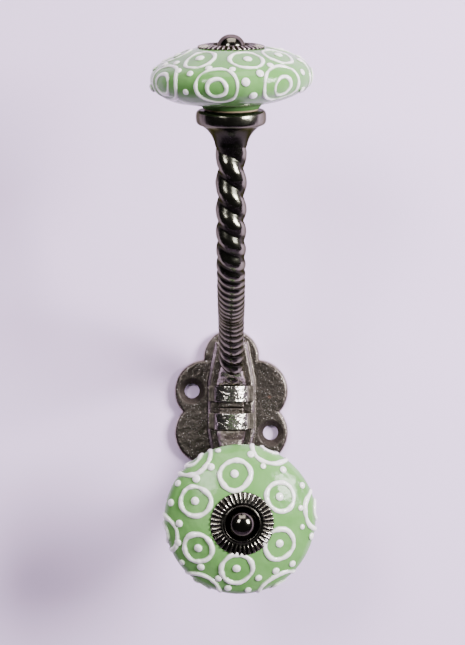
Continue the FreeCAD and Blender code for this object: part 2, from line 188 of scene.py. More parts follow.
def green_glaze():
    """Glossy sage glaze, a little uneven in colour at random, with small darker specks and a rippled surface.
    """
    finish = Finish("green_glaze")
    cloud = finish.noise(finish.place, 95.0, 3.0)
    fine = finish.noise(finish.place, 900.0, 2.0, 4.0)
    body = finish.blend(finish.between(cloud, 0.35, 0.68), rgb(0.115, 0.285, 0.075), rgb(0.160, 0.350, 0.110))
    speck = finish.between(fine, 0.66, 0.74)
    body = finish.blend(speck * 0.35, body, rgb(0.10, 0.26, 0.07))
    run = finish.noise(finish.place, 210.0, 2.0, 9.0)
    normal = finish.bump(run, 0.00042)
    normal = finish.bump(fine, 0.000012, normal)
    finish.set(Base_Color=body, Roughness=0.12 + 0.10 * cloud, Normal=normal, Coat_Weight=0.06)
    finish.set(Coat_Roughness=0.04, Specular_IOR_Level=0.25)
    return finish.material


def white_slip():
    """Off-white piped slip: clean on the crest, with green glaze pooled against its foot."""
    finish = Finish("white_slip")
    crest = finish.attribute("crest")
    cloud = finish.noise(finish.place, 420.0, 3.0)
    white = finish.blend(cloud, rgb(0.80, 0.78, 0.77), rgb(0.93, 0.92, 0.90))
    foot = 1 - finish.between(crest + 0.22 * cloud, 0.22, 0.50)
    body = finish.blend(foot * 0.75, white, GLAZE_GREEN)
    normal = finish.bump(finish.noise(finish.place, 1500.0, 2.0), 0.00004)
    finish.set(Base_Color=body, Roughness=0.10 + 0.12 * cloud, Normal=normal, Coat_Weight=0.3)
    finish.set(Coat_Roughness=0.05)
    return finish.material


# what the plating reflects at a grazing angle, against white for bare metal
EDGE_TINT = rgb(0.37, 0.385, 0.325)


def metal(name, dark, bright, lump_deep, grain_deep, smooth, rough):
    """Black-nickel plating over a casting, brighter where it is rubbed, with pits and casting skin."""
    finish = Finish(name)
    cloud = finish.noise(finish.place, 160.0, 4.0)
    lumps = finish.noise(finish.place, 620.0, 3.0, 2.0)
    grain = finish.noise(finish.place, 3300.0, 2.0, 5.0)
    wear = finish.attribute("crest") + 0.55 * (cloud - 0.5) + 0.3 * (lumps - 0.5)
    rubbed = finish.between(wear, 0.45, 0.85)
    body = finish.blend(rubbed, dark, bright)
    pits = finish.between(grain, 0.70, 0.80)
    body = finish.blend(pits * 0.55, body, rgb(0.03, 0.026, 0.025))
    normal = finish.bump(lumps, lump_deep)
    normal = finish.bump(grain, grain_deep, normal)
    shine = rough + (smooth - rough) * rubbed
    finish.set(Base_Color=body, Metallic=1.0, Roughness=shine + 0.08 * grain, Normal=normal)
    finish.set(Specular_Tint=EDGE_TINT)
    return finish


def black_nickel_cast():
    dark, bright = rgb(0.042, 0.042, 0.034), rgb(0.19, 0.188, 0.148)
    return metal("black_nickel_cast", dark, bright, 0.00010, 0.000016, 0.14, 0.24).material


def black_nickel_bolt():
    dark, bright = rgb(0.105, 0.100, 0.082), rgb(0.22, 0.205, 0.168)
    return metal("black_nickel_bolt", dark, bright, 0.00002, 0.000004, 0.06, 0.12).material


def black_nickel_pressing():
    dark, bright = rgb(0.033, 0.031, 0.027), rgb(0.38, 0.36, 0.31)
    return metal("black_nickel_pressing", dark, bright, 0.00005, 0.00001, 0.15, 0.22).material


def polished_collar():
    dark, bright = rgb(0.14, 0.122, 0.104), rgb(0.50, 0.475, 0.42)
    return metal("polished_collar", dark, bright, 0.00022, 0.00005, 0.15, 0.42).material


def rough_cast_plate():
    """Sand-cast skin under plating, with sparkling grains, rubbed edges and one speck of rust."""
    dark, bright = rgb(0.088, 0.075, 0.066), rgb(0.68, 0.64, 0.56)
    finish = metal("rough_cast_plate", dark, bright, 0.00026, 0.00009, 0.18, 0.31)
    body = Wire(finish, finish.shader.inputs["Base Color"].links[0].from_socket)
    specks = finish.node("ShaderNodeTexVoronoi", None, {"Vector": finish.place, "Scale": 1500.0})
    sparkle = 1 - finish.between(specks, 0.10, 0.22)
    body = finish.blend(sparkle * 0.7, body, rgb(0.75, 0.70, 0.68))
    away = finish.vector("DISTANCE", finish.place, tuple(p * MM for p in RUST_SPECK))["Value"]
    rust = 1 - finish.between(away, 0.25 * MM, 0.75 * MM)
    body = finish.blend(rust * 0.4, body, rgb(0.16, 0.06, 0.035))
    well = finish.attribute("well")
    body = finish.blend(well * 0.85, body, rgb(0.035, 0.026, 0.024))
    finish.set(Base_Color=body, Metallic=1 - 0.7 * well)
    return finish.material


def rivet_steel():
    """Dull steel turned flush, with fine rings from the file."""
    finish = Finish("rivet_steel")
    scratch = finish.noise(finish.place, 2600.0, 3.0)
    cloud = finish.noise(finish.place, 300.0, 2.0, 3.0)
    body = finish.blend(cloud, rgb(0.20, 0.19, 0.185), rgb(0.42, 0.40, 0.39))
    finish.set(Base_Color=body, Metallic=1.0, Roughness=0.32 + 0.25 * scratch)
    finish.set(Normal=finish.bump(scratch, 0.00003))
    return finish.material


def washer_paper():
    """Tan fibre washer: short mottled fibres and no shine."""
    finish = Finish("washer_paper")
    fibre = finish.noise(finish.place, 1800.0, 4.0)
    body = finish.blend(fibre, rgb(0.22, 0.15, 0.09), rgb(0.48, 0.37, 0.25))
    finish.set(Base_Color=body, Roughness=0.85, Normal=finish.bump(fibre, 0.00006))
    return finish.material


# where the rust speck is on the plate's face
RUST_SPECK = (11.2, -3.0, 4.4)

FINISHES = {
    "green_glaze": green_glaze(),
    "white_slip": white_slip(),
    "black_nickel_cast": black_nickel_cast(),
    "black_nickel_bolt": black_nickel_bolt(),
    "black_nickel_pressing": black_nickel_pressing(),
    "polished_collar": polished_collar(),
    "rough_cast_plate": rough_cast_plate(),
    "rivet_steel": rivet_steel(),
    "washer_paper": washer_paper(),
}

# ---------------------------------------------------------------- mesh helpers


def new_object(name, mesh):
    made = bpy.data.objects.new(name, mesh)
    bpy.context.scene.collection.objects.link(made)
    return made


def mesh_from(name, points, faces, edges=()):
    mesh = bpy.data.meshes.new(name)
    mesh.from_pydata([tuple(p) for p in points], list(edges), list(faces))
    return mesh


def point_outwards(mesh):
    shell = bmesh.new()
    shell.from_mesh(mesh)
    bmesh.ops.recalc_face_normals(shell, faces=shell.faces)
    shell.to_mesh(mesh)
    shell.free()


def add_values(mesh, name, values, kind="FLOAT"):
    """A named value, or vector, on every point of a mesh."""
    layer = mesh.attributes.new(name, kind, "POINT")
    field = "vector" if kind == "FLOAT_VECTOR" else "value"
    layer.data.foreach_set(field, np.asarray(values, np.float32).ravel())


def joined(name, meshes):
    """One mesh out of several."""
    shell = bmesh.new()
    for mesh in meshes:
        shell.from_mesh(mesh)
    whole = bpy.data.meshes.new(name)
    shell.to_mesh(whole)
    shell.free()
    return whole


def arc(start, end, radius, step):
    """Points after start on an arc to end, to the left of the way along it for a positive radius."""
    start, end = np.array(start, float), np.array(end, float)
    half = np.linalg.norm(end - start) / 2
    along = (end - start) / (2 * half)
    left = np.array((-along[1], along[0]))
    side = 1 if radius > 0 else -1
    centre = (start + end) / 2 - left * side * math.sqrt(radius * radius - half * half)
    sweep = 2 * math.asin(half / abs(radius))
    runs = max(3, math.ceil(sweep * abs(radius) / step))
    spoke = start - centre
    points = []
    for n in range(1, runs + 1):
        turn = -side * sweep * n / runs
        c, s = math.cos(turn), math.sin(turn)
        points.append(tuple(centre + (spoke[0] * c - spoke[1] * s, spoke[0] * s + spoke[1] * c)))
    return points


def outline(corners, step):
    """Points through corners (radius, height), with an arc after a corner that has a third number."""
    points = [corners[0][:2]]
    for here, after in zip(corners, corners[1:]):
        if len(here) > 2:
            points += arc(here[:2], after[:2], here[2], step)
            continue
        runs = max(1, math.ceil(math.dist(here[:2], after[:2]) / step))
        for n in range(1, runs + 1):
            share = n / runs
            points.append(tuple(h + (a - h) * share for h, a in zip(here[:2], after[:2])))
    return points


def lathe(name, points, segments, closed=False):
    """Surface of revolution about Z, in metres, from (radius, height) points in millimetres."""
    verts, rings = [], []
    for radius, height in points:
        ring = []
        for n in range(1 if radius < 1e-6 else segments):
            turn = 2 * math.pi * n / segments
            ring.append(len(verts))
            verts.append((radius * math.cos(turn) * MM, radius * math.sin(turn) * MM, height * MM))
        rings.append(ring)
    faces = []
    pairs = list(zip(rings, rings[1:]))
    if closed:
        pairs.append((rings[-1], rings[0]))
    for low, high in pairs:
        for n in range(segments):
            after = (n + 1) % segments
            corners = [low[n % len(low)], low[after % len(low)], high[after % len(high)], high[n % len(high)]]
            face = list(dict.fromkeys(corners))
            if len(face) > 2:
                faces.append(face)
    mesh = mesh_from(name, verts, faces)
    point_outwards(mesh)
    return mesh


def tube_of(name, rings):
    """Closed tube through rings of equally many points, in millimetres, with a fan on each end."""
    rings = np.asarray(rings, float) * MM
    count, sides, _ = rings.shape
    verts = [tuple(p) for ring in rings for p in ring]
    faces = []
    for row in range(count - 1):
        for n in range(sides):
            after = (n + 1) % sides
            here, there = row * sides, (row + 1) * sides
            faces.append((here + n, here + after, there + after, there + n))
    for row in (0, count - 1):
        hub = len(verts)
        verts.append(tuple(rings[row].mean(0)))
        for n in range(sides):
            faces.append((row * sides + n, row * sides + (n + 1) % sides, hub))
    mesh = mesh_from(name, verts, faces)
    point_outwards(mesh)
    return mesh


# ---------------------------------------------------------------- modifier trees


class Growth(Graph):
    """A Geometry Nodes tree with named inputs, run once on an object and made plain."""

    def __init__(self, name, inputs):
        super().__init__(bpy.data.node_groups.new(name, "GeometryNodeTree"))
        self.keys = {}
        kinds = {"size": "NodeSocketFloat", "count": "NodeSocketInt", "finish": "NodeSocketMaterial"}
        face = self.tree.interface
        face.new_socket("Geometry", in_out="INPUT", socket_type="NodeSocketGeometry")
        face.new_socket("Geometry", in_out="OUTPUT", socket_type="NodeSocketGeometry")
        for label, kind in inputs.items():
            made = face.new_socket(label, in_out="INPUT", socket_type=kinds[kind])
            self.keys[label] = made.identifier
        self.source = self.tree.nodes.new("NodeGroupInput")
        self.sink = self.tree.nodes.new("NodeGroupOutput")

    def input(self, label):
        return Wire(self, pick(self.source.outputs, label))

    def named(self, name, kind="FLOAT"):
        return self.node("GeometryNodeInputNamedAttribute", {"data_type": kind}, {"Name": name})

    def store(self, geometry, name, value, kind="FLOAT"):
        inputs = {"Geometry": geometry, "Name": name, "Value": value}
        return self.node("GeometryNodeStoreNamedAttribute", {"data_type": kind, "domain": "POINT"}, inputs)

    def place(self):
        return self.node("GeometryNodeInputPosition")

    def move(self, geometry, along, much):
        """Geometry moved by a number times a vector."""
        offset = self.vector("SCALE", along, much)
        return self.node("GeometryNodeSetPosition", None, {"Geometry": geometry, "Offset": offset})

    def end(self, geometry):
        """Realize Instances, smooth shading and Set Material, into the output."""
        geometry = self.node("GeometryNodeRealizeInstances", None, {"Geometry": geometry})
        geometry = self.node("GeometryNodeSetShadeSmooth", None, {"Geometry": geometry})
        inputs = {"Geometry": geometry, "Material": self.input("Finish")}
        geometry = self.node("GeometryNodeSetMaterial", None, inputs)
        self.feed(pick(self.sink.inputs, "Geometry"), geometry)

    def grow(self, name, mesh, finish, **values):
        """The tree's result on a mesh, as a new plain object at the origin."""
        seed_object = new_object(name + "_seed", mesh)
        modifier = seed_object.modifiers.new(self.tree.name, "NODES")
        modifier.node_group = self.tree
        modifier[self.keys["Finish"]] = FINISHES[finish]
        for label, value in values.items():
            modifier[self.keys[label.replace("_", " ")]] = value
        ready = seed_object.evaluated_get(bpy.context.evaluated_depsgraph_get())
        plain = bpy.data.meshes.new_from_object(ready)
        bpy.data.objects.remove(seed_object)
        plain.name = name
        return new_object(name, plain)


def cast_skin_tree():
    """Lumps and grain of a casting, pushed along the surface's normal."""
    grow = Growth(
        "cast_skin",
        {
            "Lump size": "size",
            "Lump height": "size",
            "Grain size": "size",
            "Grain height": "size",
            "Seed": "size",
            "Finish": "finish",
        },
    )
    normal = grow.node("GeometryNodeInputNormal")
    place = grow.place()
    lumps = grow.noise(place, 1 / grow.input("Lump size"), 2.0, grow.input("Seed")) - 0.5
    grain = grow.noise(place, 1 / grow.input("Grain size"), 1.0, grow.input("Seed") + 7.0) - 0.5
    much = lumps * grow.input("Lump height") + grain * grow.input("Grain height")
    grow.end(grow.move(grow.input("Geometry"), normal, much))
    return grow


def twisted_bar_tree():
    """Two strands twisted round a middle line, cast in one, each point of the line with its own turn."""
    grow = Growth(
        "twisted_bar",
        {"Sides": "count", "Skin size": "size", "Skin height": "size", "Seed": "size", "Finish": "finish"},
    )
    sides = grow.input("Sides")
    line = grow.node("GeometryNodeMeshToCurve", None, {"Mesh": grow.input("Geometry")})
    line = grow.store(line, "middle", grow.place(), "FLOAT_VECTOR")
    ring = grow.node("GeometryNodeCurvePrimitiveCircle", None, {"Resolution": sides, "Radius": 1.0})
    index = grow.node("GeometryNodeInputIndex")
    ring = grow.store(ring, "around", index * 2 * math.pi / sides)
    inputs = {"Curve": line, "Profile Curve": ring, "Scale": MM, "Fill Caps": True}
    tube = grow.node("GeometryNodeCurveToMesh", None, inputs)
    angle = grow.named("around") - grow.named("turn")
    apart, strand = grow.named("apart"), grow.named("strand")
    near = grow.maths("ABSOLUTE", grow.maths("COSINE", angle)) * apart
    far = grow.maths("SINE", angle) * apart
    reach = near + grow.maths("SQRT", strand * strand - far * far)
    lowest = grow.maths("SQRT", strand * strand - apart * apart)
    tube = grow.store(tube, "crest", (reach - lowest) / (strand + apart - lowest))
    middle = grow.named("middle", "FLOAT_VECTOR")
    spoke = grow.vector("SUBTRACT", grow.place(), middle)
    spoke = grow.node("ShaderNodeVectorMath", {"operation": "NORMALIZE"}, {"Vector": spoke})
    rough = grow.noise(grow.place(), 1 / grow.input("Skin size"), 2.0, grow.input("Seed")) - 0.5
    skin = rough * grow.input("Skin height")
    target = grow.vector("ADD", middle, grow.vector("SCALE", spoke, reach + skin))
    tube = grow.node("GeometryNodeSetPosition", None, {"Geometry": tube, "Position": target})
    grow.end(tube)
    return grow


def piped_slip_tree():
    """Half-sunk beads of slip along edges, and a dot on every loose point, on a surface."""
    grow = Growth(
        "piped_slip",
        {
            "Bead": "size",
            "Sink": "size",
            "Uneven": "size",
            "Seed": "size",
            "Sides": "count",
            "Finish": "finish",
        },
    )
    seed = grow.input("Seed")
    outward = grow.named("outward", "FLOAT_VECTOR")
    wander = grow.noise(grow.place(), 330.0, 2.0, seed) - 0.5
    bead = grow.input("Bead") * (1 + wander * grow.input("Uneven"))
    line = grow.node("GeometryNodeMeshToCurve", None, {"Mesh": grow.input("Geometry")})
    line = grow.store(line, "bead", bead)
    line = grow.store(line, "ground", grow.place(), "FLOAT_VECTOR")
    line = grow.move(line, outward, grow.input("Sink") * -1)
    inputs = {"Resolution": grow.input("Sides"), "Radius": 1.0}
    section = grow.node("GeometryNodeCurvePrimitiveCircle", None, inputs)
    inputs = {"Curve": line, "Profile Curve": section, "Scale": grow.named("bead")}
    beads = grow.node("GeometryNodeCurveToMesh", None, inputs)
    size = grow.named("size")
    loose = grow.node("FunctionNodeCompare", {"operation": "GREATER_THAN"}, {"A": size, "B": 0.0})
    dome = grow.node("GeometryNodeMeshUVSphere", None, {"Segments": 20, "Rings": 12, "Radius": 1.0})
    upright = grow.node("FunctionNodeAlignRotationToVector", {"axis": "Z"}, {"Vector": outward})
    high = grow.node("ShaderNodeCombineXYZ", None, {"X": size, "Y": size, "Z": size * 0.50})
    points = grow.node("GeometryNodeMeshToPoints", None, {"Mesh": grow.input("Geometry"), "Selection": loose})
    points = grow.store(points, "ground", grow.place(), "FLOAT_VECTOR")
    inputs = {"Points": points, "Instance": dome, "Rotation": upright, "Scale": high}
    dots = grow.node("GeometryNodeInstanceOnPoints", None, inputs)
    dots = grow.node("GeometryNodeRealizeInstances", None, {"Geometry": dots})
    both = grow.node("GeometryNodeJoinGeometry", None, {"Geometry": dots})
    grow.tree.links.new(beads.socket, both.socket.node.inputs[0])
    rise = grow.vector("SUBTRACT", grow.place(), grow.named("ground", "FLOAT_VECTOR"))
    rise = grow.vector("DOT_PRODUCT", rise, outward)["Value"]
    both = grow.store(both, "crest", rise / grow.input("Bead"))
    wobble = (grow.noise(grow.place(), 700.0, 1.0, seed + 3.0) - 0.5) * grow.input("Bead") * 0.35
    grow.end(grow.move(both, outward, wobble))
    return grow


def fluted_dish_tree():
    """Radial flutes pressed into a dish that lies square to its own Z, fading in from a radius."""
    grow = Growth(
        "fluted_dish",
        {
            "Flutes": "count",
            "Inner radius": "size",
            "Outer radius": "size",
            "Depth": "size",
            "Seed": "size",
            "Finish": "finish",
        },
    )
    parts = grow.node("ShaderNodeSeparateXYZ", None, {"Vector": grow.place()})
    angle = grow.maths("ARCTAN2", parts["Y"], parts["X"])
    flat = grow.node("ShaderNodeCombineXYZ", None, {"X": parts["X"], "Y": parts["Y"]})
    radius = grow.node("ShaderNodeVectorMath", {"operation": "LENGTH"}, {"Vector": flat})["Value"]
    uneven = (grow.noise(grow.place(), 240.0, 1.0, grow.input("Seed")) - 0.5) * 1.6
    wave = grow.maths("COSINE", angle * grow.input("Flutes") + uneven)
    ridge = grow.maths("ABSOLUTE", wave) ** 0.75 * grow.maths("SIGN", wave)
    inner, outer = grow.input("Inner radius"), grow.input("Outer radius")
    fade = grow.between(radius, inner, inner + 0.45 * (outer - inner))
    geometry = grow.store(grow.input("Geometry"), "crest", 0.5 + 0.5 * ridge * fade)
    up = grow.node("ShaderNodeCombineXYZ", None, {"Z": ridge * fade * grow.input("Depth")})
    geometry = grow.node("GeometryNodeSetPosition", None, {"Geometry": geometry, "Offset": up})
    grow.end(geometry)
    return grow


CAST_SKIN = cast_skin_tree()
TWISTED_BAR = twisted_bar_tree()
PIPED_SLIP = piped_slip_tree()
FLUTED_DISH = fluted_dish_tree()


def finished(piece, body, slot, *nodes):
    """A piece rides on a body and may stand for nodes, which are hidden; the slot is not used."""
    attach(piece, body)
    if nodes:
        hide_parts(*nodes)
    return piece


def remeshed(name, mesh, voxel):
    """A copy of a closed mesh as an even skin of small squares."""
    lump = new_object(name + "_lump", mesh)
    modifier = lump.modifiers.new("skin", "REMESH")
    modifier.mode = "VOXEL"
    modifier.voxel_size = voxel * MM
    ready = lump.evaluated_get(bpy.context.evaluated_depsgraph_get())
    skin = bpy.data.meshes.new_from_object(ready)
    bpy.data.objects.remove(lump)
    return skin


# ---------------------------------------------------------------- seats


def seat_frame(place):
    """Matrix of a knob's seat from its joint: Z along the knob's axis, X across the hook."""
    joint = next(j for j in frame["joints"] if j["name"] == place + "_knob_turn")
    along = Vector(joint["axis"]).normalized()
    across = UP.cross(Vector((along.x, along.y, 0))).normalized()
    turn = Matrix((across, along.cross(across), along)).transposed().to_4x4()
    return Matrix.Translation(Vector(joint["pos_m"])) @ turn


SEATS = {"upper": seat_frame("upper"), "lower": seat_frame("lower")}

# ---------------------------------------------------------------- knobs

KNOB_RADIUS = 20.0
EQUATOR = 8.0
RIM_CURVE = 3.9
CROWN = 15.2
# where the rim's curve meets the underside and the top, in degrees below and above the equator
RIM_LOW, RIM_HIGH = 60.0, 56.0
UNDERSIDE_CURVE = 13.5
TOP_CURVE = 27.0
CROWN_RADIUS = 8.6
RECESS = 4.8
BORE = 2.5
FOOT_UP = 0.4


def rim_point(degrees):
    """Radius and height on the rim's curve at an angle from the equator."""
    turn = math.radians(degrees)
    return KNOB_RADIUS - RIM_CURVE * (1 - math.cos(turn)), EQUATOR + RIM_CURVE * math.sin(turn)


KNOB_OUTLINE = [
    (BORE, FOOT_UP),
    (6.95, FOOT_UP, 0.25),
    (7.2, 0.65),
    (7.6, 1.1, 3.0),
    (9.6, 2.0, -UNDERSIDE_CURVE),
    (*rim_point(-RIM_LOW), -RIM_CURVE),
    (*rim_point(RIM_HIGH), -TOP_CURVE),
    (CROWN_RADIUS, CROWN),
    (RECESS, CROWN),
    (RECESS, 14.4),
    (BORE, 14.4),
    (BORE, FOOT_UP),
]
KNOB_STEP = 0.32
KNOB_SEGMENTS = 240
# thrown and glazed by hand, so the outline wanders by about this much
KNOB_WANDER = 0.30
# how far the right of each knob's rim is raised and its left lowered
KNOB_LEAN = {"upper": 0.55, "lower": 0.0}


def knob_mesh(place):
    """Knob about its own axis, at its seat's origin, with a slightly uneven outline."""
    mesh = lathe(place + "_knob_body", outline(KNOB_OUTLINE, KNOB_STEP)[:-1], KNOB_SEGMENTS, closed=True)
    seed = {"upper": 3.0, "lower": 11.0}[place]
    co = np.zeros(len(mesh.vertices) * 3)
    mesh.vertices.foreach_get("co", co)
    co = co.reshape(-1, 3)
    angle = np.arctan2(co[:, 1], co[:, 0])
    radius = np.hypot(co[:, 0], co[:, 1]) / MM
    loose = np.clip((radius - 8.6) / 6.0, 0, 1)
    wave = sum(np.cos(k * angle + seed * k * k) / k for k in (2, 3, 5, 7)) / 1.6
    grow = 1 + loose * wave * KNOB_WANDER / KNOB_RADIUS
    co[:, 0] *= grow
    co[:, 1] *= grow
    co[:, 2] += loose * np.cos(angle) * KNOB_LEAN[place] * MM
    mesh.vertices.foreach_set("co", co.ravel())
    return mesh


def surface_path():
    """Radius and height against the distance along the knob's skin from its axis, top side first."""
    points = [p for p in reversed(outline(KNOB_OUTLINE[4:8], 0.1))]
    points.insert(0, (0.0, CROWN))
    radius, height = np.array(points).T
    reach = np.concatenate([[0], np.cumsum(np.hypot(np.diff(radius), np.diff(height)))])
    return reach, radius, height


REACH, REACH_RADIUS, REACH_HEIGHT = surface_path()
EQUATOR_REACH = float(np.interp(EQUATOR, REACH_HEIGHT[::-1], REACH[::-1]))


def reach_of(radius):
    """Distance along the skin to a radius on the top side."""
    top = REACH <= EQUATOR_REACH
    return float(np.interp(radius, REACH_RADIUS[top], REACH[top]))


def on_skin(angle, reach):
    """Point on the smooth knob, in metres, at an angle in radians and a distance along the skin."""
    radius = np.interp(reach, REACH, REACH_RADIUS)
    height = np.interp(reach, REACH, REACH_HEIGHT)
    return Vector((radius * math.cos(angle) * MM, radius * math.sin(angle) * MM, height * MM))


RING_POINTS = 72
SLIP_BEAD = {"upper": 0.60, "lower": 0.82}
SLIP_SINK = {"upper": 0.30, "lower": 0.38}
DOT_SIZE = 0.92

# slip on each knob, by angle in degrees about the knob's axis; the lower one's angles start at the
# right and go anticlockwise, the upper one's start at the front and go to the right
FACE_RINGS = {
    "lower": [(98, 12.7), (34, 12.2), (-30, 11.4), (-96, 12.2), (-150, 13.2), (155, 13.4)],
    "upper": [(-33, 13.8), (15, 14.0), (55, 13.6), (112, 13.2), (165, 13.8), (-137, 13.4), (-86, 13.6)],
}
FACE_RING_RADIUS = 3.95
RIM_RINGS = {
    "lower": [128, 67, 7, -60, -120, -170],
    "upper": [-56, -10, 39, 89, 138, -171, -112],
}
RIM_RING_RADIUS = 5.15
RIM_CORE_RADIUS = 2.35
# dots by angle and by how far out they lie: past the rim's radius means down the far side
DOTS = {
    "lower": [
        (108, 19.4), (119, 16.5), (136, 16.4), (149, 19.2), (165, 18.9), (-179, 16.2),
        (-162, 17.4), (-145, 18.8), (-132, 15.8), (-112, 16.0), (-101, 17.9), (-84, 18.3),
        (-73, 15.4), (-55, 15.8), (-40, 17.6), (-13, 19.1), (-5, 16.0), (13, 15.9),
        (30, 18.5), (51, 17.4), (69, 15.7), (82, 17.8),
    ],
    "upper": [
        (-43, 18.6), (-31, 19.0), (-33, 20.6), (-18, 17.2), (1, 17.6), (21, 19.0), (10, 19.9),
        (16, 20.9), (33, 17.0), (61, 19.4), (-56, 16.0), (64, 20.8), (76, 17.0), (100, 16.8),
        (113, 19.2), (114, 20.8), (126, 17.0), (150, 17.2), (163, 19.0), (164, 20.9), (178, 16.9),
        (-155, 17.0), (-141, 19.1), (-140, 20.8), (-124, 17.1), (-98, 17.0), (-84, 19.0),
        (-83, 20.8), (-70, 17.2),
    ],
}


def knob_angle(place, degrees):
    """Angle about the knob's own X, in radians."""
    return math.radians(degrees if place == "lower" else degrees - 90)


def skin_reach(out):
    """Distance along the skin for a radius, which past the rim counts on down the far side."""
    if out <= KNOB_RADIUS - 0.1:
        return reach_of(out)
    return EQUATOR_REACH + (out - KNOB_RADIUS) * 3.0


def hand_drawn(rand):
    """Uneven radius factor round a ring, as a function of the angle."""
    waves = [(k, rand.uniform(0.01, 0.05) / (k - 1), rand.uniform(0, 2 * math.pi)) for k in (2, 3, 4, 6)]
    return lambda turn: 1 + sum(a * math.cos(k * turn + shift) for k, a, shift in waves)


def face_ring(angle, reach, radius, rand):
    """Ring on the face, drawn on the skin laid flat about the knob's axis."""
    wander = hand_drawn(rand)
    middle = Vector((math.cos(angle), math.sin(angle))) * reach
    points = []
    for n in range(RING_POINTS):
        turn = 2 * math.pi * n / RING_POINTS
        flat = middle + Vector((math.cos(turn), math.sin(turn))) * radius * wander(turn)
        points.append(on_skin(math.atan2(flat.y, flat.x), flat.length))
    return points


def rim_ring(angle, reach, radius, rand):
    """Ring that wraps over the rim from the face to the underside."""
    wander = hand_drawn(rand)
    points = []
    for n in range(RING_POINTS):
        turn = 2 * math.pi * n / RING_POINTS
        there = reach + radius * wander(turn) * math.sin(turn)
        spread = radius * wander(turn) * math.cos(turn) / np.interp(there, REACH, REACH_RADIUS)
        points.append(on_skin(angle + spread, there))
    return points


def slip_lines(place, body):
    """Loops of edges and loose points that lie on the knob's own uneven skin."""
    rand = random.Random({"upper": 21, "lower": 5}[place])
    skin = BVHTree.FromPolygons([v.co for v in body.vertices], [tuple(p.vertices) for p in body.polygons])
    loops, dots = [], []
    for degrees, out in FACE_RINGS[place]:
        angle = knob_angle(place, degrees)
        loops.append(face_ring(angle, reach_of(out), FACE_RING_RADIUS * rand.uniform(0.95, 1.06), rand))
        dots.append((angle + rand.uniform(-0.03, 0.03), reach_of(out) + rand.uniform(-0.4, 0.4), 1.25))
    for degrees in RIM_RINGS[place]:
        angle = knob_angle(place, degrees)
        low = EQUATOR_REACH + rand.uniform(-0.3, 0.3)
        loops.append(rim_ring(angle, low, RIM_RING_RADIUS * rand.uniform(0.96, 1.05), rand))
        loops.append(rim_ring(angle, low + 0.4, RIM_CORE_RADIUS * rand.uniform(0.9, 1.1), rand))
    for degrees, out in DOTS[place]:
        dots.append((knob_angle(place, degrees), skin_reach(out), rand.uniform(0.85, 1.25)))
    points, edges, outward, sizes = [], [], [], []

    def lay(point, size):
        spot, normal, _, _ = skin.find_nearest(point)
        points.append(spot)
        outward.append(normal)
        sizes.append(size)

    for loop in loops:
        first = len(points)
        for point in loop:
            lay(point, 0.0)
        count = len(loop)
        edges += [(first + n, first + (n + 1) % count) for n in range(count)]
    for angle, reach, share in dots:
        lay(on_skin(angle, reach), DOT_SIZE * MM * share)
    mesh = mesh_from(place + "_slip_lines", points, [], edges)
    add_values(mesh, "outward", outward, "FLOAT_VECTOR")
    add_values(mesh, "size", sizes)
    return mesh


def make_knob(place):
    seat = SEATS[place]
    body = knob_mesh(place)
    lines = slip_lines(place, body)
    seed = {"upper": 1.0, "lower": 2.0}[place]
    slip = PIPED_SLIP.grow(
        place + "_knob_slip", lines, "white_slip",
        Bead=SLIP_BEAD[place] * MM, Sink=SLIP_SINK[place] * MM, Uneven=1.2, Seed=seed, Sides=14,
    )
    slip.data.transform(seat)
    finished(slip, place + "_knob_set", "white_slip")
    knob = CAST_SKIN.grow(
        place + "_knob_glazed", body, "green_glaze",
        Lump_size=9 * MM, Lump_height=0.10 * MM, Grain_size=2.5 * MM, Grain_height=0.02 * MM, Seed=seed,
    )
    knob.data.transform(seat)
    finished(knob, place + "_knob_set", "green_glaze", place + "_knob")


# ---------------------------------------------------------------- rosettes and bolts

ROSETTE_THICK = 0.45
ROSETTE_TOP = [
    (8.30, 15.50),
    (8.05, 15.62),
    (6.60, 15.95),
    (5.35, 16.05),
    (4.95, 15.95),
    (4.75, 16.10),
    (4.55, 16.12),
    (4.42, 16.00),
    (4.25, 15.60),
    (3.90, 14.98),
    (3.60, 14.90),
    (2.25, 14.90),
]
FLUTES = 38
FLUTE_SEGMENTS = FLUTES * 12


def make_rosette(place):
    """Pressed dish: plain hub, thin raised lip round the bolt's head, and fluted skirt."""
    top = outline(ROSETTE_TOP, 0.16)
    back = [(r, h - ROSETTE_THICK) for r, h in reversed(top)]
    mesh = lathe(place + "_dish", top + back, FLUTE_SEGMENTS, closed=True)
    dish = FLUTED_DISH.grow(
        place + "_rosette_fluted", mesh, "black_nickel_pressing",
        Flutes=FLUTES, Inner_radius=5.2 * MM, Outer_radius=8.3 * MM, Depth=0.2 * MM,
        Seed={"upper": 4.0, "lower": 8.0}[place],
    )
    dish.data.transform(SEATS[place])
    finished(dish, place + "_knob_set", "black_nickel_pressing", place + "_rosette")


HEAD_RADIUS = 3.6
HEAD_BASE = 14.9
SHANK_RADIUS = 1.98
THREAD_DEEP = 0.38
THREAD_PITCH = 0.7
SHANK_END = -8.0


def thread_mesh(name):
    """Shank with a right-hand thread, as one sheet wound down from the head."""
    sides = 32
    rows = math.ceil((HEAD_BASE - SHANK_END) / (THREAD_PITCH / 6))
    rings = []
    for row in range(rows + 1):
        height = HEAD_BASE + 0.3 + (SHANK_END - HEAD_BASE - 0.3) * row / rows
        taper = min(1.0, 0.72 + (height - SHANK_END) / 1.2 * 0.28)
        ring = []
        for n in range(sides):
            turn = 2 * math.pi * n / sides
            phase = (height / THREAD_PITCH - n / sides) % 1.0
            crest = abs(2 * phase - 1)
            radius = (SHANK_RADIUS - THREAD_DEEP * (1 - crest)) * taper
            ring.append((radius * math.cos(turn), radius * math.sin(turn), height))
        rings.append(ring)
    return tube_of(name, rings)


